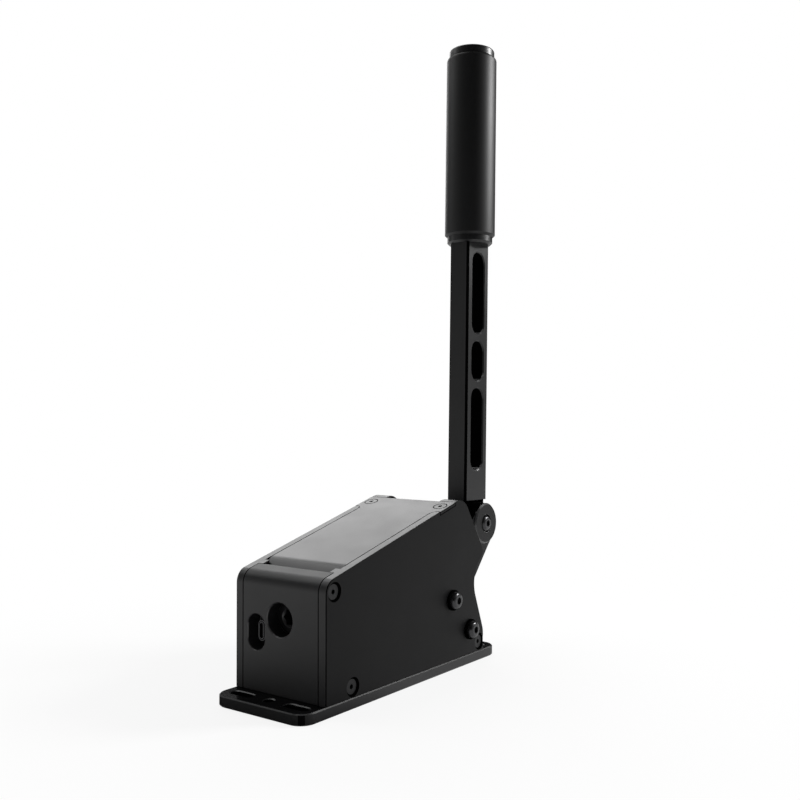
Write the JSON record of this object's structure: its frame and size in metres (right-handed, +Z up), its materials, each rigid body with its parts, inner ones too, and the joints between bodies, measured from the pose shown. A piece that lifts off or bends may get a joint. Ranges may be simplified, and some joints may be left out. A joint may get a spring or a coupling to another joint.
{
  "type": "sim racing handbrake",
  "caption": "Desk-mounted handbrake for driving games: upright lever with round grip on an open-backed metal housing, pushing a rod into rubber pucks and a load cell.",
  "frame": {"origin": "centre of the base plate on its underside", "axes": "+Z up, -Y towards the driver's side where the port is, +X to the object's right; the lever stands at the +Y end"},
  "size_m": [0.074, 0.2239, 0.405],
  "materials": {
    "black_anodised": "black anodised, fine satin",
    "black_oxide": "black oxide",
    "bright_steel": "ground steel",
    "bronze": "sintered bronze",
    "gloss_black": "gloss black",
    "grip_rubber": "soft matt rubber",
    "board_black": "solder mask",
    "puck_soft": "cast polyurethane",
    "puck_medium": "cast polyurethane",
    "puck_hard": "cast polyurethane"
  },
  "bodies": {
    "housing": {"base_plate": "black_anodised", "side_plate_left": "black_anodised", "side_plate_right": "black_anodised", "front_plate": "black_anodised", "top_cover": "black_anodised", "front_cross_bar": "black_anodised", "rear_cross_bar": "black_anodised", "guide_block": "black_anodised", "rod_bush": "bronze", "pivot_shaft": "bright_steel", "pivot_spacers": "bright_steel", "side_screws": "black_oxide", "cover_screws": "black_oxide", "base_screws": "black_oxide", "side_bolts": "black_oxide", "bolt_washers": "black_oxide", "circuit_board": "board_black", "board_screws": "bright_steel", "usb_port": "bright_steel"},
    "load_cell_group": {"load_cell": "bright_steel", "thrust_cup": "black_anodised", "soft_puck": "puck_soft"},
    "preload_screw": {"preload_screw": "bright_steel"},
    "front_washer_group": {"front_puck_washer": "bright_steel", "medium_puck": "puck_medium"},
    "rear_washer_group": {"rear_puck_washer": "bright_steel", "hard_puck": "puck_hard"},
    "rod": {"push_rod": "bright_steel", "rod_collar": "bright_steel"},
    "crank": {"crank_arm_left": "black_anodised", "crank_arm_right": "black_anodised", "pivot_bushes": "bronze", "rod_pin": "bright_steel", "pin_clips": "black_oxide", "arm_tie": "black_anodised", "tie_screws": "black_oxide", "ear_bolts": "black_oxide"},
    "lever": {"lever_bar": "black_anodised", "grip_collar": "gloss_black", "grip_core": "black_anodised", "grip_sleeve": "grip_rubber", "grip_cap": "gloss_black", "grip_bolt": "black_oxide"}
  },
  "joints": [
    {"name": "lever_pull", "type": "hinge", "parent": "housing", "child": "crank", "pos_m": [0, 0.0599, 0.0213], "axis": [1, 0, 0], "range_deg": [0, 12], "stiffness_Nm_per_rad": 200, "springref_deg": -1.72},
    {"name": "lever_tilt", "type": "hinge", "parent": "crank", "child": "lever", "pos_m": [0, 0.1069, 0.0812], "axis": [1, 0, 0], "range_deg": [-15, 25]},
    {"name": "rod_slide", "type": "slide", "parent": "housing", "child": "rod", "axis": [0, -1, 0], "range_m": [0, 0.0053], "deforming": ["hard_puck"]},
    {"name": "rear_washer_slide", "type": "slide", "parent": "housing", "child": "rear_washer_group", "axis": [0, -1, 0], "range_m": [0, 0.0043], "deforming": ["medium_puck"]},
    {"name": "front_washer_slide", "type": "slide", "parent": "housing", "child": "front_washer_group", "axis": [0, -1, 0], "range_m": [0, 0.0027], "deforming": ["soft_puck"]},
    {"name": "preload_slide", "type": "slide", "parent": "housing", "child": "load_cell_group", "axis": [0, 1, 0], "range_m": [-0.0015, 0.0015]},
    {"name": "preload_turn", "type": "hinge", "parent": "load_cell_group", "child": "preload_screw", "pos_m": [0, -0.06, 0.046], "axis": [0, 1, 0], "range_deg": [-360, 360]}
  ],
  "couplings": [
    {"joint": "rod_slide", "follows": "lever_pull", "m_per_rad": 0.024791},
    {"joint": "rear_washer_slide", "follows": "lever_pull", "m_per_rad": 0.019833},
    {"joint": "front_washer_slide", "follows": "lever_pull", "m_per_rad": 0.012396},
    {"joint": "preload_turn", "follows": "preload_slide", "rad_per_m": 4188.8}
  ]
}
